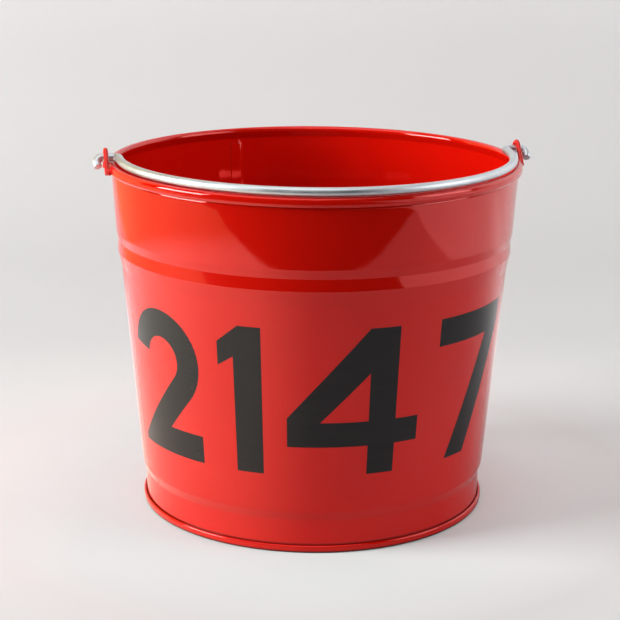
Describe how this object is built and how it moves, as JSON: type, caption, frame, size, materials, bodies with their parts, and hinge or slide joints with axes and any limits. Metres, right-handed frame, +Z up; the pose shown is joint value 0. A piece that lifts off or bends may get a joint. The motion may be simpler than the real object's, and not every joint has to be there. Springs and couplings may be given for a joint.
{
  "type": "fire bucket",
  "caption": "Round tapered steel bucket in red gloss paint with a rolled rim, a swaged band, a seamed foot ring and a swinging wire bail.",
  "frame": {"origin": "middle of the plane that the foot ring rests on", "axes": "+Z up; +X through the right-hand ear, along the bail's hinge; -Y to the front, where the bail lies at rest"},
  "size_m": [0.3004, 0.28, 0.2478],
  "materials": {
    "enamel": "high gloss red enamel paint",
    "bare_steel": "bare drawn wire",
    "zinc": "bright zinc plate"
  },
  "bodies": {
    "bucket": {"body_wall": "enamel", "base_panel": "enamel", "rim_wire": "bare_steel", "ear_left": "enamel", "ear_right": "enamel"},
    "bail": {"bail": "zinc"}
  },
  "joints": [
    {"name": "bail_swing", "type": "hinge", "parent": "bucket", "child": "bail", "pos_m": [0, 0, 0.2411], "axis": [-1, 0, 0], "range_deg": [0, 180]}
  ]
}
